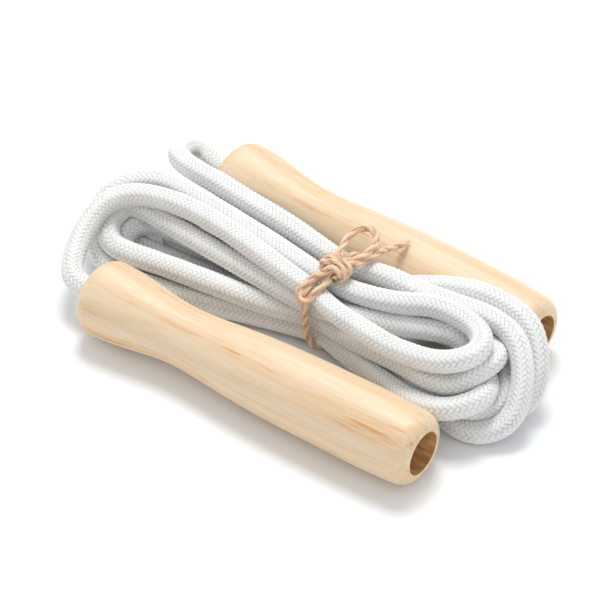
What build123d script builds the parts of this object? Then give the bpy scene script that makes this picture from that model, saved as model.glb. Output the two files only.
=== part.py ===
"""Jump rope with two turned wooden handles, its cotton rope wound in a hank and tied with jute twine.

Millimetres, +Z up. The two handles and the hank lie on the plane Z = 0. +X runs along the handles
from their nose, where the rope leaves, to their open end. The origin is under the middle of the
two handles' box.
"""

import os
from math import pi, radians, sin, tan

from build123d import *

# Handle: one turned piece, drilled from both ends. Stations are measured from the nose.
HANDLE_LENGTH = 140.0
BULGE_R = 14.0  # the nose bulge and the belly, the two rings that the handle lies on
NOSE_BULGE_X = 7.0
NOSE_FACE_R = 6.0
WAIST_X, WAIST_R = 37.0, 10.95
GRIP_X, GRIP_R = 64.0, 12.5
BELLY_X = 112.0
SHOULDER_X, SHOULDER_R = 134.0, 13.5
END_FACE_R = 9.0
BORE_R = 8.0  # wide bore in the open end, which hides the rope's knot
BORE_DEPTH = 75.0
DRILL_POINT_ANGLE = 31.0  # slope of the bore's bottom, from square to the axis

# Rope and twine
ROPE_D = 8.0
ROPE_HOLE_R = ROPE_D / 2 + 0.8
TWINE_D = 2.4
KNOT_R = 7.4  # the stopper knot pulled tight, inside the wide bore
KNOT_GAP = 0.2
ROPE_TAIL = 10.0  # the cut end beyond the stopper knot

# Where the handles lie: axis height, nose to nose, and how far each turns in towards the open ends
AXIS_Z = BULGE_R
NOSE_Y = 40.0
YAW = 1.8
NEAR_NOSE_X = -69.4
FAR_NOSE_X = -70.6

# The hank's outer shape, section by section along X: x, lowest and highest y, lowest and highest z
HANK_SECTIONS = [
    (-88.0, -20.0, 2.0, 4.0, 18.0),
    (-81.0, -24.5, 10.0, 0.5, 24.0),
    (-66.0, -24.5, 17.0, 0.0, 30.5),
    (-42.0, -22.5, 19.5, 0.0, 31.5),
    (-18.0, -17.5, 20.0, 1.0, 32.0),
    (3.0, -13.0, 20.5, 2.6, 33.5),
    (22.0, -16.0, 21.3, 1.0, 36.5),
    (42.0, -18.5, 21.3, 0.0, 38.5),
    (62.0, -17.5, 21.3, 0.0, 37.0),
    (76.0, -11.0, 20.0, 0.5, 30.0),
    (84.0, -3.0, 17.0, 4.0, 23.0),
]
HANK_CORNER_R = 0.42  # of the section's shorter side

# Routes of the rope's loose stretches, nose of the handle first
NEAR_LEAD = [
    (-69.4, -40.0, 14.0),
    (-78.7, -40.3, 14.0),
    (-88.7, -32.9, 14.8),
    (-92.5, -21.0, 17.6),
    (-88.9, -9.0, 21.2),
    (-79.0, -1.6, 24.4),
]
FAR_LEAD = [
    (-70.6, 40.0, 14.0),
    (-79.0, 40.3, 14.0),
    (-87.3, 42.6, 14.4),
    (-92.8, 38.0, 16.5),
    (-92.8, 31.0, 19.4),
    (-87.3, 26.4, 21.6),
    (-75.0, 24.6, 23.3),
    (-62.0, 22.0, 24.4),
    (-50.0, 19.0, 25.0),
]

# Twine: wraps round the hank's waist, a knot on top, one bow loop and one tail
WAIST_MID_X = 3.0
WRAP_WIDTH = 12.0
TWINE_KNOT_AT = (6.5, 1.5, 37.5)
TWINE_KNOT_SIZE = (12.0, 13.0, 7.0)
BOW = [
    (5.0, 4.0, 38.0),
    (1.1, 10.1, 39.0),
    (-0.6, 16.5, 38.8),
    (1.4, 22.6, 37.4),
    (6.0, 23.6, 36.6),
    (9.8, 18.6, 37.0),
    (10.6, 11.5, 37.8),
    (8.6, 4.6, 38.0),
]
TWINE_TAIL = [
    (11.6, 2.4, 36.8),
    (13.8, 10.5, 37.0),
    (14.6, 19.0, 35.6),
    (15.2, 27.0, 32.6),
    (16.4, 34.0, 30.4),
]


def ellipse_quarter(centre, radii, start):
    """A quarter ellipse from the start angle, in the plane of the handle's outline."""
    return EllipticalCenterArc(centre, radii[0], radii[1], start_angle=start, arc_size=90)


def handle():
    """The turned handle along +X from its nose: flared nose, waist, belly and rounded open end."""
    nose = ellipse_quarter((NOSE_BULGE_X, NOSE_FACE_R), (NOSE_BULGE_X, BULGE_R - NOSE_FACE_R), 90)
    grip = Spline(
        (NOSE_BULGE_X, BULGE_R),
        (WAIST_X, WAIST_R),
        (GRIP_X, GRIP_R),
        (BELLY_X, BULGE_R),
        (SHOULDER_X, SHOULDER_R),
        tangents=[(1, 0), (1, -0.06)],
    )
    shoulder_radii = (HANDLE_LENGTH - SHOULDER_X, SHOULDER_R - END_FACE_R)
    shoulder = ellipse_quarter((SHOULDER_X, END_FACE_R), shoulder_radii, 0)
    bore_start = HANDLE_LENGTH - BORE_DEPTH
    cone = (BORE_R - ROPE_HOLE_R) * tan(radians(DRILL_POINT_ANGLE))
    inside = Polyline(
        (HANDLE_LENGTH, END_FACE_R),
        (HANDLE_LENGTH, BORE_R),
        (bore_start + cone, BORE_R),
        (bore_start, ROPE_HOLE_R),
        (0, ROPE_HOLE_R),
        (0, NOSE_FACE_R),
    )
    outline = make_face(Curve() + [nose, grip, shoulder, inside])
    return revolve(outline, axis=Axis.X)


def rope_end():
    """The rope inside a handle, along +X from the nose: straight part, stopper knot and cut tail."""
    bore_start = HANDLE_LENGTH - BORE_DEPTH
    rope_r = ROPE_D / 2
    lean = radians(90 - DRILL_POINT_ANGLE)
    knot_x = bore_start + (KNOT_R + KNOT_GAP) / sin(lean) - ROPE_HOLE_R / tan(lean)
    length = knot_x + KNOT_R + ROPE_TAIL
    rope = Pos(length / 2, 0, 0) * Cylinder(rope_r, length, rotation=(0, 90, 0))
    return rope + Pos(knot_x, 0, 0) * Sphere(KNOT_R)


def placed(shape, nose_x, side):
    """A handle's piece where that handle lies; side is -1 for the near handle, +1 for the far one."""
    return Pos(nose_x, side * NOSE_Y, AXIS_Z) * Rot(0, 0, -side * YAW) * shape


def corner_radii(route):
    """Each corner's largest arc: 0.45 of its shorter run over the tangent of half its turn."""
    points = [Vector(*p) for p in route]
    radii = []
    for before, corner, after in zip(points, points[1:], points[2:]):
        into, out_of = corner - before, after - corner
        half_turn = radians(into.get_angle(out_of)) / 2
        radii.append(0.45 * min(into.length, out_of.length) / tan(half_turn))
    return radii


def tube(name, route, diameter):
    """A round tube along the route, its straight runs joined by tangent arcs."""
    radii = corner_radii(route)
    path = FilletPolyline(*route, radius=radii)
    solid = sweep(Plane(origin=path @ 0, z_dir=path % 0) * Circle(diameter / 2), path=path)
    expected = pi * diameter**2 / 4 * path.length
    print(name, "arc radii", [round(r, 1) for r in radii], "length", round(path.length, 1))
    print(name, "volume over section times length", round(solid.volume / expected, 4))
    return solid


def section(x, y_low, y_high, z_low, z_high):
    """A rounded rectangle square to X."""
    width, height = y_high - y_low, z_high - z_low
    plane = Plane(origin=(x, (y_low + y_high) / 2, (z_low + z_high) / 2), x_dir=(0, 1, 0), z_dir=(1, 0, 0))
    return plane * RectangleRounded(width, height, HANK_CORNER_R * min(width, height))


def hank():
    """The closed outer shape of the wound rope: two lobes with a waist at the twine."""
    return loft([section(*values) for values in HANK_SECTIONS])


def twine_wrap(hank_solid):
    """The band of twine round the hank's waist."""
    waist = [values for values in HANK_SECTIONS if values[0] == WAIST_MID_X][0]
    x, y_low, y_high, z_low, z_high = waist
    outer = section(x, y_low - TWINE_D, y_high + TWINE_D, z_low - TWINE_D, z_high + TWINE_D)
    band = extrude(outer, WRAP_WIDTH / 2, dir=(1, 0, 0), both=True)
    return band - hank_solid


def twine_knot(hank_solid, wrap):
    """The knot of twine on top of the wraps."""
    return Pos(*TWINE_KNOT_AT) * scale(Sphere(0.5), by=TWINE_KNOT_SIZE) - wrap - hank_solid


def build():
    """Every node by name."""
    hank_solid = hank()
    wrap = twine_wrap(hank_solid)
    return {
        "handle_near": placed(handle(), NEAR_NOSE_X, -1),
        "handle_far": placed(handle(), FAR_NOSE_X, 1),
        "rope_end_near": placed(rope_end(), NEAR_NOSE_X, -1),
        "rope_end_far": placed(rope_end(), FAR_NOSE_X, 1),
        "rope_lead_near": tube("rope_lead_near", NEAR_LEAD, ROPE_D),
        "rope_lead_far": tube("rope_lead_far", FAR_LEAD, ROPE_D),
        "rope_hank": hank_solid,
        "twine_wrap": wrap,
        "twine_knot": twine_knot(hank_solid, wrap),
        "twine_bow": tube("twine_bow", BOW, TWINE_D),
        "twine_tail": tube("twine_tail", TWINE_TAIL, TWINE_D),
    }


os.makedirs("parts", exist_ok=True)
for node, shape in build().items():
    export_step(shape, f"parts/{node}.step")
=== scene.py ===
"""Looks of the jump rope: a braided cotton rope, jute twine and two varnished wooden handles.

Metres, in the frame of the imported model. The routes of the two cords come first, then their
surfaces, the materials and the scene.
"""

import math

import bpy
import numpy as np
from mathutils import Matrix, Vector


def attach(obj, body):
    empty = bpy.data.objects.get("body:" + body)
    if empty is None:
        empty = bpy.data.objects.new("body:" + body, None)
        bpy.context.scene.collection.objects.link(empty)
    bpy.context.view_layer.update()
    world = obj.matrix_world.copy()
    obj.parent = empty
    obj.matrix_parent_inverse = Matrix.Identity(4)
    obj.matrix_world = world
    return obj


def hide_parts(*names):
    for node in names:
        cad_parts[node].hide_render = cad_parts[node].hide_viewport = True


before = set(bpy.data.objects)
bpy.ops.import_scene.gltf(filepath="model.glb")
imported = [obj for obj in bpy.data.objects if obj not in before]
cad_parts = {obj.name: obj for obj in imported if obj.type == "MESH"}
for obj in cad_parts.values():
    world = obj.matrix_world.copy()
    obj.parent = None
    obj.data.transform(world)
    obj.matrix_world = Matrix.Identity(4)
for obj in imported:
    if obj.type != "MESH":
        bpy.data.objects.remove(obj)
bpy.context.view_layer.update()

MM = 0.001
ROPE_D = 8 * MM
ROPE_R = ROPE_D / 2
YAW = math.radians(1.8)  # each handle turns in this much towards its open end
AXIS_Z = 14 * MM  # height of the handles' axes
NEAR_NOSE = (-69.4 * MM, -40 * MM, AXIS_Z)
FAR_NOSE = (-70.6 * MM, 40 * MM, AXIS_Z)
BORE_R = 8 * MM
STOPPER_AT = 70.8 * MM  # the stopper knot's middle, from the nose
STOPPER_R = 7.3 * MM
ROPE_END_LENGTH = 88 * MM


# ---------------------------------------------------------------- camera

CAMERA_TARGET = Vector((-17.8, 12.6, 0)) * MM
CAMERA_DISTANCE = 1.3534
CAMERA_AZIMUTH = math.radians(-52.9)
CAMERA_ELEVATION = math.radians(42.44)
CAMERA_LENS_MM = 228


def make_camera():
    """A long lens on the near right side, looking down on the object."""
    data = bpy.data.cameras.new("camera")
    data.lens = CAMERA_LENS_MM
    data.clip_start = 0.05
    data.clip_end = 20
    camera = bpy.data.objects.new("camera", data)
    bpy.context.scene.collection.objects.link(camera)
    level = math.cos(CAMERA_ELEVATION)
    away = Vector(
        (
            level * math.cos(CAMERA_AZIMUTH),
            level * math.sin(CAMERA_AZIMUTH),
            math.sin(CAMERA_ELEVATION),
        )
    )
    camera.location = CAMERA_TARGET + CAMERA_DISTANCE * away
    camera.rotation_euler = (-away).to_track_quat("-Z", "Y").to_euler()
    bpy.context.scene.camera = camera


# ---------------------------------------------------------------- small tools


def mm(points):
    """Points in millimetres as an array in metres."""
    return np.array(points, float) * MM


def spline_line(name, points):
    """The points of a smooth line: a NURBS spline with the route's points as its control points."""
    data = bpy.data.curves.new(name, "CURVE")
    data.dimensions = "3D"
    data.resolution_u = 16
    spline = data.splines.new("NURBS")
    spline.points.add(len(points) - 1)
    for point, place in zip(spline.points, points):
        point.co = (*place, 1)
    spline.order_u = 3
    spline.use_endpoint_u = True
    curve = bpy.data.objects.new(name, data)
    mesh = bpy.data.meshes.new_from_object(curve)
    line = np.array([v.co for v in mesh.vertices], float)
    bpy.data.meshes.remove(mesh)
    bpy.data.objects.remove(curve)
    bpy.data.curves.remove(data)
    return line


def along(line):
    """The distance of each point of a line from its start."""
    steps = np.linalg.norm(np.diff(line, axis=0), axis=1)
    return np.concatenate([[0], np.cumsum(steps)])


def resampled(line, step):
    """The line again with evenly spaced points, and their distances from its start."""
    at = along(line)
    count = max(2, round(at[-1] / step) + 1)
    wanted = np.linspace(0, at[-1], count)
    return np.stack([np.interp(wanted, at, line[:, k]) for k in range(3)], axis=1), wanted


def unit(vectors):
    """The vectors at length one."""
    return vectors / np.maximum(np.linalg.norm(vectors, axis=-1, keepdims=True), 1e-12)


def frames(line):
    """Two directions across the line at each point, which turn with it but don't twist about it."""
    tangents = unit(np.gradient(line, axis=0))
    side = np.cross(tangents[0], (0, 0, 1))
    sides = [side / np.linalg.norm(side)]
    for tangent in tangents[1:]:
        side = sides[-1] - tangent * (sides[-1] @ tangent)
        sides.append(side / np.linalg.norm(side))
    sides = np.array(sides)
    return tangents, sides, np.cross(tangents, sides)


def mesh_object(name, vertices, faces, smooth=True):
    """A new mesh object in the scene."""
    mesh = bpy.data.meshes.new(name)
    mesh.vertices.add(len(vertices))
    mesh.vertices.foreach_set("co", np.asarray(vertices, np.float32).ravel())
    sides = faces.shape[1]
    mesh.loops.add(faces.size)
    mesh.loops.foreach_set("vertex_index", faces.ravel().astype(np.int32))
    mesh.polygons.add(len(faces))
    mesh.polygons.foreach_set("loop_start", np.arange(0, faces.size, sides, dtype=np.int32))
    mesh.update(calc_edges=True)
    mesh.validate()
    mesh.polygons.foreach_set("use_smooth", np.full(len(mesh.polygons), smooth))
    thing = bpy.data.objects.new(name, mesh)
    bpy.context.scene.collection.objects.link(thing)
    return thing


def paint(thing, material):
    """Gives the object that one material."""
    thing.data.materials.clear()
    thing.data.materials.append(material)


def random_wave(at, length, seed):
    """A smooth random number between about -1 and 1 along the line, which changes over that length."""
    knots = np.random.default_rng(seed).uniform(-1, 1, max(4, int(at[-1] / length) + 3))
    places = at / length
    low = np.floor(places).astype(int)
    part = places - low
    part = part * part * (3 - 2 * part)
    return knots[low] * (1 - part) + knots[low + 1] * part


def tube_faces(rings, sides):
    """Triangles between rings of that many sides."""
    ring, corner = np.meshgrid(np.arange(rings - 1), np.arange(sides), indexing="ij")
    here = (ring * sides + corner).ravel()
    beside = (ring * sides + (corner + 1) % sides).ravel()
    above, diagonal = here + sides, beside + sides
    first = np.stack([here, beside, diagonal], axis=1)
    second = np.stack([here, diagonal, above], axis=1)
    return np.concatenate([first, second])


def set_values(thing, name, values):
    """A number at each vertex, which a material can read."""
    layer = thing.data.attributes.new(name, "FLOAT", "POINT")
    layer.data.foreach_set("value", np.asarray(values, np.float32))


# ---------------------------------------------------------------- the rope's route

# The loose stretches between the handles' noses and the hank, from the handle on
NEAR_LEAD = mm(
    [
        (-77.0, -40.3, 14.0),
        (-83.6, -34.8, 15.2),
        (-89.0, -22.0, 18.8),
        (-88.6, -9.0, 22.8),
        (-81.0, -0.8, 25.5),
    ]
)
FAR_LEAD = mm(
    [
        (-77.5, 40.6, 14.0),
        (-84.5, 43.6, 14.8),
        (-89.3, 40.5, 16.6),
        (-89.3, 33.5, 18.8),
        (-84.5, 28.6, 20.6),
        (-76.0, 25.7, 22.4),
        (-63.0, 23.6, 24.3),
        (-50.0, 21.2, 25.3),
    ]
)
# Each lead goes on over the hank to the tie.
NEAR_OVER = mm([(-66.0, 3.2, 27.4), (-47.0, 3.4, 28.0), (-24.0, -0.6, 28.0), (-8.0, -4.2, 27.7)])
FAR_OVER = mm([(-28.0, 18.4, 26.5), (-10.0, 15.0, 27.0)])

TIE_X = 2.5 * MM

# The twine, from the end of its tail: through the knot, round the hank and back up to the knot
TWINE_ROUND = mm(
    [
        (13.4, 33.8, 28.8),
        (12.6, 28.0, 31.0),
        (11.8, 20.0, 33.6),
        (11.4, 12.0, 35.2),
        (9.0, 6.0, 35.4),
        (5.0, 1.5, 34.0),
        (2.5, -4.0, 33.6),
        (1.2, -8.4, 32.2),
        (1.8, -10.8, 27.5),
        (2.0, -10.8, 20.0),
        (1.6, -9.4, 12.0),
        (2.0, -8.0, 6.0),
        (3.6, -5.4, 2.2),
        (4.4, 0.0, 1.6),
        (4.4, 11.0, 1.6),
        (4.2, 16.6, 2.2),
        (4.0, 18.6, 7.0),
        (4.0, 18.6, 16.0),
        (4.0, 18.8, 26.0),
        (4.2, 16.8, 31.4),
        (4.6, 11.0, 33.2),
        (5.2, 6.8, 34.6),
    ]
)
# Then three turns round the knot, the near loop, through the knot, the far loop and the end tucked in
KNOT_MIDDLE = np.array([5.6, 2.2, 35.6]) * MM
KNOT_TURNS = 3
KNOT_POINTS = 12  # in one turn
KNOT_START = math.radians(110)  # about the knot's length, from X towards Z
KNOT_HALF_WIDTH = 5.0 * MM
KNOT_LENGTH = 6.6 * MM
KNOT_HALF_HEIGHT = 2.8 * MM
TWINE_BOW = mm(
    [
        (3.8, -3.2, 36.0),
        (1.6, -5.6, 34.4),
        (0.4, -8.2, 32.6),
        (-0.6, -10.8, 30.4),
        (0.6, -12.4, 28.6),
        (3.8, -11.6, 28.8),
        (5.0, -9.2, 31.4),
        (6.6, -5.0, 33.8),
        (6.2, 1.0, 35.6),
        (3.6, 7.0, 36.4),
        (1.8, 11.0, 37.0),
        (0.2, 16.5, 37.2),
        (0.8, 23.0, 37.2),
        (5.4, 25.2, 36.8),
        (9.4, 21.8, 36.4),
        (10.8, 15.5, 36.4),
        (9.6, 9.0, 36.6),
        (7.6, 3.0, 36.0),
        (8.4, -2.6, 34.6),
    ]
)

# The hank's lobes to the right of the tie, in the order in which the rope makes them. Each is a bend
# round the end of the hank between a near and a far strand, in millimetres: tie_near and tie_far are
# those strands at the tie (y, z), near and far the same where the bend starts, reach the bend's end
# and depth how long the bend is. drop is the part of the bend, from near to far, over which it climbs
# from one strand's height to the other's. late says how late each strand spreads from the tie.
RIGHT_LOBES = [
    dict(tie_near=(-5.2, 27.4), tie_far=(2, 28.2), reach=68, depth=27, near=(-12.6, 28.2),
         far=(16, 29.3), drop=(0, 1), late=(0.45, 2.9)),
    dict(tie_near=(-1.8, 6.7), tie_far=(-5.6, 20.2), reach=73, depth=20, near=(-16.8, 13.8),
         far=(14.4, 24.4), drop=(0.5, 1), late=(1.0, 1.2)),
    dict(tie_near=(-2, 13.3), tie_far=(1.7, 20.9), reach=69.5, depth=15, near=(-10, 18.7),
         far=(18, 21.5), drop=(0, 1), late=(1.2, 1.0)),
    dict(tie_near=(5.3, 13.4), tie_far=(12.6, 13.5), reach=74.5, depth=17, near=(-12, 10),
         far=(20, 16), drop=(0, 1), late=(1.0, 1.0)),
    dict(tie_near=(13, 6.7), tie_far=(9.5, 20.6), reach=81.5, depth=21, near=(2, 4.3),
         far=(26.5, 28.8), drop=(0.3, 0.9), late=(1.0, 0.7)),
    dict(tie_near=(5.6, 6.8), tie_far=(13, 27), reach=79.5, depth=20, near=(-9, 4.2),
         far=(19.5, 27), drop=(0.2, 0.9), late=(1.0, 0.45)),
]
# The lobes to the left of the tie. Each starts where a right lobe's far strand comes in, and ends
# where the next right lobe's near strand goes out.
LEFT_LOBES = [
    dict(reach=-91, depth=16, near=(-19.5, 5), far=(13, 24.5), drop=(0, 0.75), late=(1.0, 0.9)),
    dict(reach=-90, depth=11, near=(-15.8, 11.6), far=(0.5, 19.5), drop=(0, 1), late=(1.0, 0.8)),
    dict(reach=-82, depth=10.5, near=(-12, 4.4), far=(4.5, 11.5), drop=(0, 1), late=(0.9, 0.8)),
    dict(reach=-74, depth=10.5, near=(3.8, 4.4), far=(18.8, 10.6), drop=(0, 1), late=(0.8, 0.8)),
    dict(reach=-87, depth=10, near=(-4.2, 4.4), far=(17, 18.2), drop=(0.3, 1), late=(0.9, 0.7)),
]
RUN_POINTS = 3  # of a strand, between the tie and the start of its bend
BEND_POINTS = 6


def strand(tie, start, start_x, late):
    """A strand's points between the tie and the start of its bend."""
    points = []
    for k in range(1, RUN_POINTS + 1):
        part = k / (RUN_POINTS + 1)
        spread = part**late
        y = tie[0] + (start[0] - tie[0]) * spread
        z = tie[1] + (start[1] - tie[1]) * spread
        points.append((TIE_X / MM + (start_x - TIE_X / MM) * part, y, z))
    return points


def bend(lobe, start_x):
    """Half an ellipse round the hank's end, from the near strand to the far one."""
    (near_y, near_z), (far_y, far_z) = lobe["near"], lobe["far"]
    middle, half = (near_y + far_y) / 2, (far_y - near_y) / 2
    first, last = lobe["drop"]
    points = []
    for k in range(BEND_POINTS):
        part = k / (BEND_POINTS - 1)
        angle = math.pi * (part - 0.5)
        x = start_x + (lobe["reach"] - start_x) * math.cos(angle)
        climb = min(max((part - first) / (last - first), 0), 1)
        z = near_z + (far_z - near_z) * climb * climb * (3 - 2 * climb)
        points.append((x, middle + half * math.sin(angle), z))
    return points


def lobe_points(lobe, tie_near, tie_far):
    """A lobe's points from the near strand round to the far one, without the tie's own points."""
    side = 1 if lobe["reach"] > 0 else -1
    start_x = lobe["reach"] - side * lobe["depth"]
    near = strand(tie_near, lobe["near"], start_x, lobe["late"][0])
    far = strand(tie_far, lobe["far"], start_x, lobe["late"][1])
    return near + bend(lobe, start_x) + far[::-1]


def hank_points():
    """The rope's turns: out through the tie and round each right lobe, back round the next left one."""
    turns = []
    for k, right in enumerate(RIGHT_LOBES):
        turns.append((TIE_X / MM, *right["tie_near"]))
        turns += lobe_points(right, right["tie_near"], right["tie_far"])
        turns.append((TIE_X / MM, *right["tie_far"]))
        if k < len(LEFT_LOBES):
            tie_near = RIGHT_LOBES[k + 1]["tie_near"]
            turns += lobe_points(LEFT_LOBES[k], tie_near, right["tie_far"])[::-1]
    return mm(turns)


def spline_weights(count, per_span=6):
    """How much each control point counts at each sample of a quadratic spline through the route."""
    rows = []
    for first in range(count - 2):
        for part in np.arange(per_span) / per_span:
            left = (1 - part) ** 2 * (1 if first == 0 else 0.5)
            right = part**2 * (1 if first == count - 3 else 0.5)
            row = np.zeros(count)
            row[first : first + 3] = left, 1 - left - right, right
            rows.append(row)
    rows.append(np.eye(count)[-1])
    return np.array(rows)


HANDLE_STATIONS = mm([-2, 0, 7, 37, 64, 112, 134, 140, 142])  # from the nose
HANDLE_RADII = mm([0, 9, 14, 10.95, 12.5, 14, 13.5, 11, 0])
SQUEEZE = 0.1  # how much of the rope's width the twine takes at the tie
SQUEEZE_LENGTH = 14 * MM


def handle_axis(side):
    """The way from a handle's nose to its open end; side is 1 for the near handle, -1 for the far one."""
    return np.array([math.cos(YAW), side * math.sin(YAW), 0])


def handle_radius(at):
    """The handle's outer radius, for keeping the rope clear: a bulge, a waist and a belly."""
    return np.interp(at, HANDLE_STATIONS, HANDLE_RADII)


def pressed(x):
    """How much of its width the rope keeps: the twine squeezes it at the tie."""
    return 1 - SQUEEZE * np.exp(-(((x - TIE_X) / SQUEEZE_LENGTH) ** 2))


SETTLE_STEPS = 240
PUSH = 1.5  # how far a step moves the control points, of the way that the line should go
KEEP_ROUTE = 0.02  # how far a step draws them back to the route
OWN_STRETCH = 22 * MM  # closer than this along the rope, two points are the same stretch
CLEARANCE = 0.3 * MM  # from the rope to the floor and to the handles
HELD_NEAR = 4  # control points that stay where they are, from the near nose on
HELD_FAR = 6  # and up to the far nose


def off_strands(line, apart):
    """How far each point of the line has to go to clear the strands that it's in."""
    square = (line**2).sum(1)
    gap = np.sqrt(np.maximum(square[:, None] + square[None, :] - 2 * line @ line.T, 1e-12))
    wide = ROPE_D * pressed(line[:, 0])
    first, second = np.nonzero(apart & (gap < wide[:, None]))
    way = line[first] - line[second]
    far = gap[first, second]
    push = (wide[first] - far)[:, None] * way / far[:, None] / 2
    move = np.zeros_like(line)
    np.add.at(move, first, push)
    touching = np.bincount(first, minlength=len(line))
    return move / np.maximum(touching, 1)[:, None]


def off_handle(line, nose, side):
    """How far each point of the line has to go to clear one handle."""
    axis = handle_axis(side)
    from_nose = line - nose
    run = from_nose @ axis
    out = from_nose - run[:, None] * axis
    distance = np.linalg.norm(out, axis=1)
    need = handle_radius(run) + ROPE_R + CLEARANCE
    inside = (handle_radius(run) > 0) & (distance < need) & (distance > ROPE_R)
    outward = out / np.maximum(distance, ROPE_R)[:, None]
    return np.where(inside[:, None], outward * (need - distance)[:, None], 0)


def settled(route, held):
    """The route after its strands have pushed each other, the floor and the handles out of themselves."""
    weights = spline_weights(len(route))
    share = weights.sum(0)
    at = along(weights @ route)
    apart = np.abs(at[:, None] - at[None, :]) > OWN_STRETCH
    points = route.copy()
    for _ in range(SETTLE_STEPS):
        line = weights @ points
        move = off_strands(line, apart)
        move[:, 2] += np.maximum(ROPE_R + CLEARANCE - line[:, 2], 0)
        move += off_handle(line, NEAR_NOSE, 1)
        move += off_handle(line, FAR_NOSE, -1)
        step = PUSH * (weights.T @ move) / share[:, None]
        step[held] = 0
        points = points + step
        points = points + (route - points) * KEEP_ROUTE
    return points


def rope_route():
    """The whole rope's control points, from the near handle's nose to the far one's."""
    near = [[NEAR_NOSE], NEAR_LEAD, NEAR_OVER]
    far = [FAR_OVER[::-1], FAR_LEAD[::-1], [FAR_NOSE]]
    route = np.concatenate([*near, hank_points(), *far])
    held = np.zeros(len(route), bool)
    held[:HELD_NEAR] = True
    held[-HELD_FAR:] = True
    return settled(route, held)


def knot_turns():
    """The twine's turns across the knot, one beside the other along Y."""
    turns = np.arange(KNOT_TURNS * KNOT_POINTS) / KNOT_POINTS
    angle = KNOT_START + 2 * math.pi * turns
    x = KNOT_HALF_WIDTH * np.cos(angle)
    y = (0.5 - turns / KNOT_TURNS) * KNOT_LENGTH
    z = KNOT_HALF_HEIGHT * np.sin(angle)
    return KNOT_MIDDLE + np.stack([x, y, z], axis=1)


def twine_route():
    """The whole twine's control points."""
    return np.concatenate([TWINE_ROUND, knot_turns(), TWINE_BOW])


# ---------------------------------------------------------------- braided rope

YARNS = 12  # yarns that wind each way round the rope
PER_YARN = 4  # corners round the tube for each yarn, and rings along it for each crossing
SIDES = PER_YARN * YARNS
PITCH = 1.9 * MM  # length of one crossing along the rope
RELIEF = 0.5 * MM  # from the bottom of a gap to the top of a yarn
LEVEL = 0.72  # the braid height, from 0 to 1, that lies on the tube's diameter
BRAID_D = 8.3 * MM  # at that level, so the tops of the yarns stand out of it
WANDER = 0.02  # how much the rope's thickness changes along it, of itself
WANDER_LENGTH = 6 * MM
WANDER_SEED = 40


def braid_height(turn, step):
    """The braid's surface from 0 in a gap to 1 on a yarn: each yarn goes over two and under two.

    turn counts the yarns round the rope and step the crossings along it. The yarn on top at a place
    depends on which two yarns cross there."""
    right, left = step + turn, step - turn
    right_at, left_at = np.floor(right + 1e-6), np.floor(left + 1e-6)
    across_right, across_left = right - right_at, left - left_at
    crossing = (right_at - left_at) % 4
    right_on_top = crossing < 2
    across = np.where(right_on_top, across_right, across_left)
    lengthwise = np.where(right_on_top, across_left, across_right)
    second_half = (crossing == 0) | (crossing == 3)
    lengthwise = (lengthwise + second_half) / 2
    yarn = 0.7 * np.sin(np.pi * across) ** 0.7 + 0.3 * np.abs(np.sin(2 * np.pi * across))
    return yarn * (0.45 + 0.55 * np.sin(np.pi * np.clip(lengthwise, 0, 1)) ** 0.8)


def braided_tube(name, line, diameter, relief, width):
    """A braided rope along the line, and its rings' centres; width gives its thickness at places."""
    centres, at = resampled(line, PITCH / PER_YARN)
    rings = len(centres)
    _, sides, ups = frames(centres)
    ring, corner = np.meshgrid(np.arange(rings), np.arange(SIDES), indexing="ij")
    height = braid_height(corner / PER_YARN, ring / PER_YARN)
    radius = diameter / 2 * width(centres)[:, None] + relief * (height - LEVEL)
    radius = radius * (random_wave(at, WANDER_LENGTH, WANDER_SEED) * WANDER + 1)[:, None]
    angle = corner * (2 * np.pi / SIDES)
    out = np.cos(angle)[..., None] * sides[:, None] + np.sin(angle)[..., None] * ups[:, None]
    vertices = (centres[:, None] + radius[..., None] * out).reshape(-1, 3)
    caps = np.array([centres[0], centres[-1]])
    faces = np.concatenate([braid_faces(rings), cap_faces(rings)])
    thing = mesh_object(name, np.concatenate([vertices, caps]), faces)
    set_braid_map(thing)
    # The braid's height at each vertex, from which the cotton material paints shade in the gaps between
    # the yarns
    set_values(thing, "yarn_height", np.concatenate([height.ravel(), (1, 1)]))
    return thing, centres


def braid_faces(rings):
    """Triangles between the rings, each cut along the way that a yarn runs."""
    ring, corner = np.meshgrid(np.arange(rings - 1), np.arange(SIDES), indexing="ij")
    ring, corner = ring.ravel(), corner.ravel()
    here = ring * SIDES + corner
    beside = ring * SIDES + (corner + 1) % SIDES
    above, diagonal = here + SIDES, beside + SIDES
    even = ((ring + corner) % 2 == 0)[:, None]
    first = np.where(even, np.stack([here, beside, diagonal], 1), np.stack([here, beside, above], 1))
    second = np.where(even, np.stack([here, diagonal, above], 1), np.stack([beside, diagonal, above], 1))
    return np.concatenate([first, second])


def cap_faces(rings):
    """Triangles from the first and last ring to the two vertices in their middles, which come last."""
    around = np.arange(SIDES)
    after = (around + 1) % SIDES
    last = (rings - 1) * SIDES
    middle = rings * SIDES
    start = np.stack([np.full(SIDES, middle), after, around], axis=1)
    end = np.stack([np.full(SIDES, middle + 1), last + around, last + after], axis=1)
    return np.concatenate([start, end])


def set_braid_map(thing):
    """A UV map in yarns: u counts yarns round the rope and v crossings along it, without a seam."""
    mesh = thing.data
    corners = np.zeros(len(mesh.loops), np.int32)
    mesh.loops.foreach_get("vertex_index", corners)
    corners = corners.reshape(-1, 3)
    ring, corner = corners // SIDES, corners % SIDES
    wraps = (corner.max(1) - corner.min(1) > SIDES / 2)[:, None]
    corner = np.where(wraps & (corner < SIDES / 2), corner + SIDES, corner)
    uv = np.stack([corner / PER_YARN, ring / PER_YARN], axis=-1).astype(np.float32)
    layer = mesh.uv_layers.new(name="braid")
    layer.data.foreach_set("uv", uv.ravel())


# ---------------------------------------------------------------- twine

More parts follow.
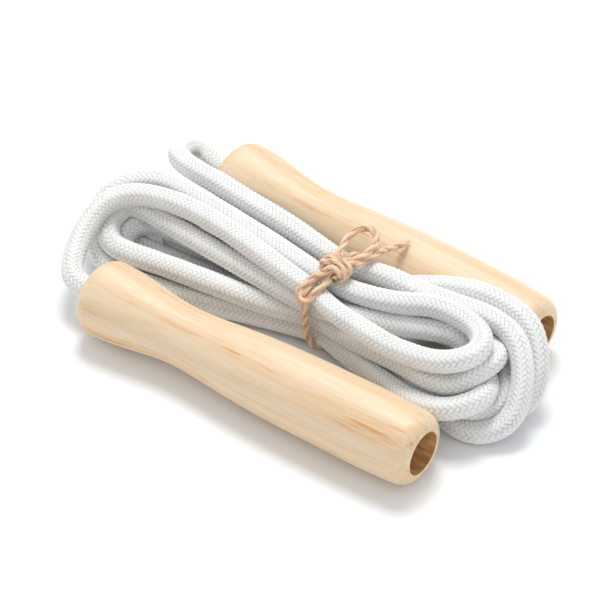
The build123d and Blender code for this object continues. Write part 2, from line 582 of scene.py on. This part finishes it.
TWINE_STEP = 0.6 * MM  # between the rings of the plies
PLY_R = 0.95 * MM
PLY_OFFSET = 0.5 * MM  # from the twine's middle to each ply's
PLY_SIDES = 22
LAY_LENGTH = 13 * MM  # one whole turn of the two plies about each other
LAY_WANDER = 0.9  # radians by which they run ahead of that or lag behind it
LAY_WANDER_LENGTH = 5 * MM
LAY_SEED = 60
PLY_MEAN = 0.95  # of PLY_R, the mean thickness
LUMP = 0.12  # of PLY_R, by which a ply is thicker or thinner than that along it
LUMP_LENGTH = 2.5 * MM
LUMP_SEED = 50  # of the first ply; the second has the next one
FIBRE_BUNDLES = 6  # round a ply
FIBRE_TURN = 1.1  # radians by which they wind about the ply in a millimetre
FIBRE_SWAY = 2.2  # radians by which they stray from that winding
FIBRE_SWAY_RATE = 0.43  # radians of that in a millimetre
FIBRE_RELIEF = 0.16 * MM
CUT_LENGTH = 2 * MM  # over which a ply thins towards the cut end
CUT_WIDTH = 0.15  # of its thickness that is left there

HAIRS = 1900  # loose fibres along the twine
END_HAIRS = 34  # and at its frayed end
HAIR_SEED = 7
HAIR_R = 0.05 * MM
HAIR_TIP = 0.4  # of that, at a hair's tip
HAIR_ROOT = 1.0 * MM  # from the twine's middle
END_HAIR_ROOT = 0.4 * MM
HAIR_LENGTH = (1.6, 3.3)  # the least and the most, in millimetres
HAIR_RISE = (0.1, 1.2)  # of the tip above the root, in millimetres
HAIR_DROOP = 0.4  # the most that the tip bends to either side, in millimetres
HAIR_POINTS = 6
HAIR_SIDES = 3
HAIR_HEIGHT = 0.8  # on the plies' scale from 0 between the fibres, in painted shade, to 1 on a crest


def twine_plies(centres, at):
    """Both plies' vertices, faces and surface heights, from which the jute material paints shade; coarse
    fibres wind along each ply.
    """
    _, sides, ups = frames(centres)
    lay = at / LAY_LENGTH * 2 * math.pi + LAY_WANDER * random_wave(at, LAY_WANDER_LENGTH, LAY_SEED)
    corner = np.arange(PLY_SIDES) * 2 * math.pi / PLY_SIDES
    ring, around = np.meshgrid(at / MM, corner, indexing="ij")
    way = np.cos(around)[..., None] * sides[:, None] + np.sin(around)[..., None] * ups[:, None]
    vertices, faces, heights = [], [], []
    for ply in range(2):
        turn = lay + ply * math.pi
        out = np.cos(turn)[:, None] * sides + np.sin(turn)[:, None] * ups
        middle = centres + PLY_OFFSET * out
        sway = FIBRE_SWAY * np.sin(FIBRE_SWAY_RATE * ring + 2 * ply)
        fibres = 0.5 + 0.5 * np.sin(FIBRE_BUNDLES * around + FIBRE_TURN * ring + sway)
        lumps = random_wave(at, LUMP_LENGTH, LUMP_SEED + ply)
        radius = PLY_R * (PLY_MEAN + LUMP * lumps)[:, None] + FIBRE_RELIEF * (fibres - 0.5)
        radius *= np.clip(at / CUT_LENGTH, CUT_WIDTH, 1)[:, None]
        points = (middle[:, None] + radius[..., None] * way).reshape(-1, 3)
        faces.append(tube_faces(len(at), PLY_SIDES) + ply * len(points))
        vertices.append(points)
        # Low between the plies and between the fibre bundles: the jute material paints shade there from
        # these heights
        outside = 0.5 + 0.5 * (way * out[:, None]).sum(2)
        heights.append((0.5 * fibres + 0.5 * outside).ravel())
    return np.concatenate(vertices), np.concatenate(faces), np.concatenate(heights)


def twine_hairs(centres):
    """Loose fibres: short bent ones along the twine and a splayed tuft at its cut end."""
    random = np.random.default_rng(HAIR_SEED)
    tangents, sides, ups = frames(centres)
    part = np.linspace(0, 1, HAIR_POINTS)[:, None]
    vertices, faces = [], []
    for k in range(HAIRS + END_HAIRS):
        at_end = k >= HAIRS
        start = 1 if at_end else int(random.integers(2, len(centres) - 2))
        angle = random.uniform(0, 2 * math.pi)
        out = math.cos(angle) * sides[start] + math.sin(angle) * ups[start]
        way = tangents[start] * (-1 if at_end else random.choice((-1, 1)))
        length = random.uniform(*HAIR_LENGTH) * MM
        rise = random.uniform(*HAIR_RISE) * MM
        droop = random.uniform(-HAIR_DROOP, HAIR_DROOP) * MM
        across = np.cross(out, way)
        root = centres[start] + out * (END_HAIR_ROOT if at_end else HAIR_ROOT)
        line = root + way * length * part + out * rise * part**1.3 + across * droop * part**2
        line[:, 2] = np.maximum(line[:, 2], HAIR_R)
        vertices.append(hair_tube(line, out, across))
        faces.append(tube_faces(HAIR_POINTS, HAIR_SIDES) + k * HAIR_POINTS * HAIR_SIDES)
    return np.concatenate(vertices), np.concatenate(faces)


def hair_tube(line, out, across):
    """A three-sided tube that thins towards its tip."""
    thick = HAIR_R * np.linspace(1, HAIR_TIP, len(line))[:, None]
    corners = [math.cos(a) * out + math.sin(a) * across for a in (0.0, 2.1, 4.2)]
    return np.stack([line + thick * corner for corner in corners], axis=1).reshape(-1, 3)


# ---------------------------------------------------------------- materials

# Colour ramps, as (place, colour) stops
YARN_COLOURS = [(0.3, (0.82, 0.83, 0.82)), (0.7, (0.91, 0.915, 0.91))]
# Painted shade: darkens the cotton in the gaps between the yarns
GAP_SHADE = [(0.1, (0.62, 0.63, 0.61)), (0.34, (1, 1, 1))]
# The jute's tan, with painted shade darkening it towards brown between the plies and between the fibre
# bundles
JUTE_TAN_AND_SHADE = [(0.36, (0.20, 0.09, 0.04)), (0.52, (0.60, 0.36, 0.21)), (0.78, (0.90, 0.68, 0.50))]
WOOD_COLOURS = [
    (0.37, (0.68, 0.36, 0.13)),
    (0.42, (0.76, 0.535, 0.32)),
    (0.52, (0.79, 0.605, 0.41)),
    (0.66, (0.82, 0.67, 0.485)),
]
DRILLED_COLOURS = [(0.35, (0.46, 0.23, 0.08)), (0.65, (0.72, 0.43, 0.18))]
BORE_EDGE = 0.15 * MM  # the drilled colour reaches this far beyond the bore's radius
NOSE_EDGE = 3 * MM  # and starts this far behind the nose


def new_material(name):
    """A node material with one Principled shader, its node tree and that shader."""
    material = bpy.data.materials.new(name)
    material.use_nodes = True
    tree = material.node_tree
    return material, tree, tree.nodes["Principled BSDF"]


def connect(tree, target, inputs):
    """Gives each of a node's inputs a value or another node's output."""
    for key, value in inputs.items():
        if isinstance(value, bpy.types.NodeSocket):
            tree.links.new(value, target.inputs[key])
        else:
            target.inputs[key].default_value = value


def node(tree, kind, inputs=None, **settings):
    """A new node with its settings and inputs."""
    made = tree.nodes.new(kind)
    for name, value in settings.items():
        setattr(made, name, value)
    connect(tree, made, inputs or {})
    return made


def math_node(tree, operation, *values):
    """The output of one Math node."""
    return node(tree, "ShaderNodeMath", dict(enumerate(values)), operation=operation).outputs[0]


def weighted(tree, *terms):
    """The sum of the (value, weight) terms' products."""
    total = 0.0
    for value, weight in terms:
        total = math_node(tree, "MULTIPLY_ADD", value, weight, total)
    return total


def mix(tree, part, first, second):
    """A number between two numbers."""
    return node(tree, "ShaderNodeMix", {0: part, 2: first, 3: second}).outputs[0]


def mix_colours(tree, part, first, second, blend="MIX"):
    """The first colour with the second one blended in."""
    made = node(
        tree, "ShaderNodeMix", {0: part, 6: first, 7: second}, data_type="RGBA", blend_type=blend
    )
    return made.outputs[2]


def split(tree, vector):
    """The three parts of a vector."""
    return node(tree, "ShaderNodeSeparateXYZ", {0: vector}).outputs


def object_space(tree):
    """Places on the object, in metres."""
    return node(tree, "ShaderNodeTexCoord").outputs["Object"]


def noise(tree, places, scale=1.0, stretch=None, **inputs):
    """The height of a noise texture, in a space that may be stretched first."""
    if stretch:
        places = node(tree, "ShaderNodeMapping", {"Vector": places, "Scale": stretch}).outputs[0]
    return node(tree, "ShaderNodeTexNoise", {"Vector": places, "Scale": scale, **inputs}).outputs[0]


def bump(tree, height, strength, depth):
    """Normals bent by a height."""
    inputs = {"Strength": strength, "Distance": depth, "Height": height}
    return node(tree, "ShaderNodeBump", inputs).outputs[0]


def vertex_value(tree, name):
    """A number that the mesh has at each vertex."""
    return node(tree, "ShaderNodeAttribute", attribute_name=name).outputs["Fac"]


def ramp(tree, value, stops):
    """A colour ramp through (place, colour) stops."""
    made = node(tree, "ShaderNodeValToRGB", {0: value})
    while len(made.color_ramp.elements) < len(stops):
        made.color_ramp.elements.new(0.5)
    for element, (place, colour) in zip(made.color_ramp.elements, stops):
        element.position = place
        element.color = (*colour, 1)
    return made.outputs[0]


def cotton_material():
    """White cotton: fine fibres along each yarn of the braid, painted shade in the gaps between the
    yarns, matte with a soft sheen.
    """
    material, tree, shader = new_material("cotton")
    # The yarn on top at each place, by the same count as in braid_height
    turn, step, _ = split(tree, node(tree, "ShaderNodeUVMap", uv_map="braid").outputs[0])
    right = math_node(tree, "ADD", step, turn)
    left = math_node(tree, "SUBTRACT", step, turn)
    right_count = math_node(tree, "FLOOR", right)
    left_count = math_node(tree, "FLOOR", left)
    crossing = math_node(tree, "SUBTRACT", right_count, left_count)
    phase = math_node(tree, "FLOORED_MODULO", crossing, 4.0)
    left_on_top = math_node(tree, "GREATER_THAN", phase, 1.5)
    across = mix(tree, left_on_top, right, left)
    lengthwise = mix(tree, left_on_top, left, right)
    on_yarn = node(tree, "ShaderNodeCombineXYZ", {0: across, 1: lengthwise}).outputs[0]
    fibres = noise(tree, on_yarn, stretch=(9, 1.6, 1), Detail=3.0)
    wave = math_node(tree, "SINE", math_node(tree, "MULTIPLY", across, 2 * math.pi))
    strands = math_node(tree, "ABSOLUTE", wave)

    places = object_space(tree)
    cloud = noise(tree, places, 60.0)
    # Patches in which the painted shade in the gaps between the yarns is stronger or weaker
    shade_patches = noise(tree, places, 190.0)
    yarn = ramp(tree, weighted(tree, (fibres, 0.6), (cloud, 0.4)), YARN_COLOURS)
    # Painted shade: the yarn colour is darkened where the braid's surface lies low, in the gaps between
    # the yarns
    gap = ramp(tree, vertex_value(tree, "yarn_height"), GAP_SHADE)
    gap_shade_strength = math_node(tree, "MULTIPLY_ADD", shade_patches, 1.6, -0.05)
    height = weighted(tree, (strands, 1.0), (fibres, 1.2))
    looks = {
        "Base Color": mix_colours(tree, gap_shade_strength, yarn, gap, "MULTIPLY"),
        "Normal": bump(tree, height, 0.45, 0.12 * MM),
        "Roughness": 0.85,
        "Specular IOR Level": 0.2,
        "Sheen Weight": 0.25,
        "Sheen Roughness": 0.5,
    }
    connect(tree, shader, looks)
    return material


def jute_material():
    """Tan jute, with fine fibres: pale on the crests of the plies, and darkened to brown by painted shade
    between the plies and between the fibre bundles.
    """
    material, tree, shader = new_material("jute")
    places = object_space(tree)
    fibres = noise(tree, places, 1900.0, Detail=4.0)
    patches = noise(tree, places, 120.0)
    crests = vertex_value(tree, "ply_height")
    # Painted shade: darker where ply_height is low, between the plies and between the fibre bundles
    tan_and_shade = weighted(tree, (crests, 0.6), (fibres, 0.45), (patches, 0.2))
    looks = {
        "Base Color": ramp(tree, tan_and_shade, JUTE_TAN_AND_SHADE),
        "Normal": bump(tree, fibres, 0.6, 0.1 * MM),
        "Roughness": 0.8,
        "Specular IOR Level": 0.25,
    }
    connect(tree, shader, looks)
    return material


def wood_material(name, nose, side):
    """Pale varnished wood with streaks along the handle, and a rough brown bore."""
    material, tree, shader = new_material(name)
    on_handle = {"Vector": object_space(tree), "Location": nose, "Rotation": (0, 0, side * YAW)}
    places = node(tree, "ShaderNodeMapping", on_handle, vector_type="TEXTURE").outputs[0]
    streaks = noise(tree, places, stretch=(7, 160, 160), Detail=4.0, Roughness=0.6, Distortion=0.3)
    grain = noise(tree, places, stretch=(60, 1100, 1100), Detail=2.0)
    drilled = noise(tree, places, stretch=(120, 500, 500), Detail=3.0)

    x, y, z = split(tree, places)
    radial = math_node(tree, "SQRT", weighted(tree, (y, y), (z, z)))
    near_axis = math_node(tree, "LESS_THAN", radial, BORE_R + BORE_EDGE)
    behind_nose = math_node(tree, "GREATER_THAN", x, NOSE_EDGE)
    in_bore = math_node(tree, "MULTIPLY", near_axis, behind_nose)

    pale = ramp(tree, weighted(tree, (streaks, 0.7), (grain, 0.3)), WOOD_COLOURS)
    brown = ramp(tree, drilled, DRILLED_COLOURS)
    torn = math_node(tree, "MULTIPLY", drilled, in_bore)
    height = weighted(tree, (grain, 0.15), (torn, 3.0))
    looks = {
        "Base Color": mix_colours(tree, in_bore, pale, brown),
        "Normal": bump(tree, height, 0.5, 0.25 * MM),
        "Roughness": mix(tree, in_bore, 0.5, 0.9),
        "Coat Weight": mix(tree, in_bore, 0.2, 0.0),
        "Coat Roughness": 0.34,
        "Subsurface Weight": 0.1,
        "Subsurface Radius": (0.003, 0.002, 0.0013),
    }
    connect(tree, shader, looks)
    return material


# ---------------------------------------------------------------- the scene

END_RELIEF = 0.35 * MM  # of the braid inside the handles
END_POINTS = 40
NARROWED = 0.9  # how much of its width the rope keeps in the hole
INSIDE = 0.97  # keeps the braid within the solid that it stands for
FLOOR_HALF = 3.0
FLOOR_COLOUR = (0.93, 0.95, 0.97, 1)
DOME_STRENGTH = 0.70
KEY_LIGHT = dict(place=(-0.30, 0.45, 1.45), size=0.6, watts=15)
FILL_LIGHT = dict(place=(0.9, -0.6, 0.9), size=0.8, watts=0.6)


def make_rope(cotton):
    """The rope as one braided cord, from nose to nose."""
    line = spline_line("rope_route", rope_route())
    rope, centres = braided_tube("rope", line, BRAID_D, RELIEF, lambda places: pressed(places[:, 0]))
    paint(rope, cotton)
    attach(rope, "rope")
    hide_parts("rope_hank", "rope_lead_near", "rope_lead_far")


def rope_end_width(run):
    """The rope's thickness inside a handle: it swells into the stopper knot and back to a cut end."""
    swell = np.sqrt(np.maximum(1 - ((run - STOPPER_AT) / STOPPER_R) ** 2, 0)) * STOPPER_R
    return np.maximum(swell / ROPE_R, NARROWED) * INSIDE


def make_rope_end(name, nose, side, node_name, cotton):
    """The rope inside one handle, from its nose to the cut end beyond the stopper knot."""
    axis = handle_axis(side)
    line = np.linspace(nose, np.array(nose) + axis * ROPE_END_LENGTH, END_POINTS)
    piece, _ = braided_tube(
        name, line, ROPE_D, END_RELIEF, lambda places: rope_end_width((places - nose) @ axis)
    )
    paint(piece, cotton)
    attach(piece, "rope")
    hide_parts(node_name)


def make_twine():
    """The jute twine round the hank: two plies laid together, with fibres that stand out."""
    line = spline_line("twine_route", twine_route())
    centres, at = resampled(line, TWINE_STEP)
    vertices, faces, heights = twine_plies(centres, at)
    hair_vertices, hair_faces = twine_hairs(centres)
    faces = np.concatenate([faces, hair_faces + len(vertices)])
    twine = mesh_object("twine", np.concatenate([vertices, hair_vertices]), faces)
    hair_heights = np.full(len(hair_vertices), HAIR_HEIGHT)
    set_values(twine, "ply_height", np.concatenate([heights, hair_heights]))
    paint(twine, jute_material())
    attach(twine, "rope")
    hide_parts("twine_wrap", "twine_knot", "twine_bow", "twine_tail")


def make_handles():
    """The two CAD handles in varnished wood."""
    paint(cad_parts["handle_near"], wood_material("near_wood", NEAR_NOSE, 1))
    paint(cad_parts["handle_far"], wood_material("far_wood", FAR_NOSE, -1))


def make_floor():
    """A plain white floor."""
    corners = [(x * FLOOR_HALF, y * FLOOR_HALF, 0) for x, y in ((-1, -1), (1, -1), (1, 1), (-1, 1))]
    floor = mesh_object("floor", corners, np.array([[0, 1, 2, 3]]), smooth=False)
    material, tree, shader = new_material("floor_white")
    connect(tree, shader, {"Base Color": FLOOR_COLOUR, "Roughness": 0.9})
    paint(floor, material)


def area_light(name, place, size, watts):
    """A soft square light that looks at the object."""
    data = bpy.data.lights.new(name, "AREA")
    data.size = size
    data.energy = watts
    light = bpy.data.objects.new(name, data)
    light.location = place
    light.rotation_euler = (-Vector(place)).to_track_quat("-Z", "Y").to_euler()
    bpy.context.scene.collection.objects.link(light)


def make_lights():
    """A high-key studio: a bright dome, a soft light high behind the object and a weak one in front."""
    world = bpy.data.worlds.new("studio")
    world.use_nodes = True
    dome = world.node_tree.nodes["Background"]
    connect(world.node_tree, dome, {0: (1, 1, 1, 1), 1: DOME_STRENGTH})
    bpy.context.scene.world = world
    area_light("key", **KEY_LIGHT)
    area_light("fill", **FILL_LIGHT)
    bpy.context.scene.view_settings.view_transform = "Standard"


make_camera()
cotton = cotton_material()
make_rope(cotton)
make_rope_end("rope_end_near_braid", NEAR_NOSE, 1, "rope_end_near", cotton)
make_rope_end("rope_end_far_braid", FAR_NOSE, -1, "rope_end_far", cotton)
make_twine()
make_handles()
make_floor()
make_lights()
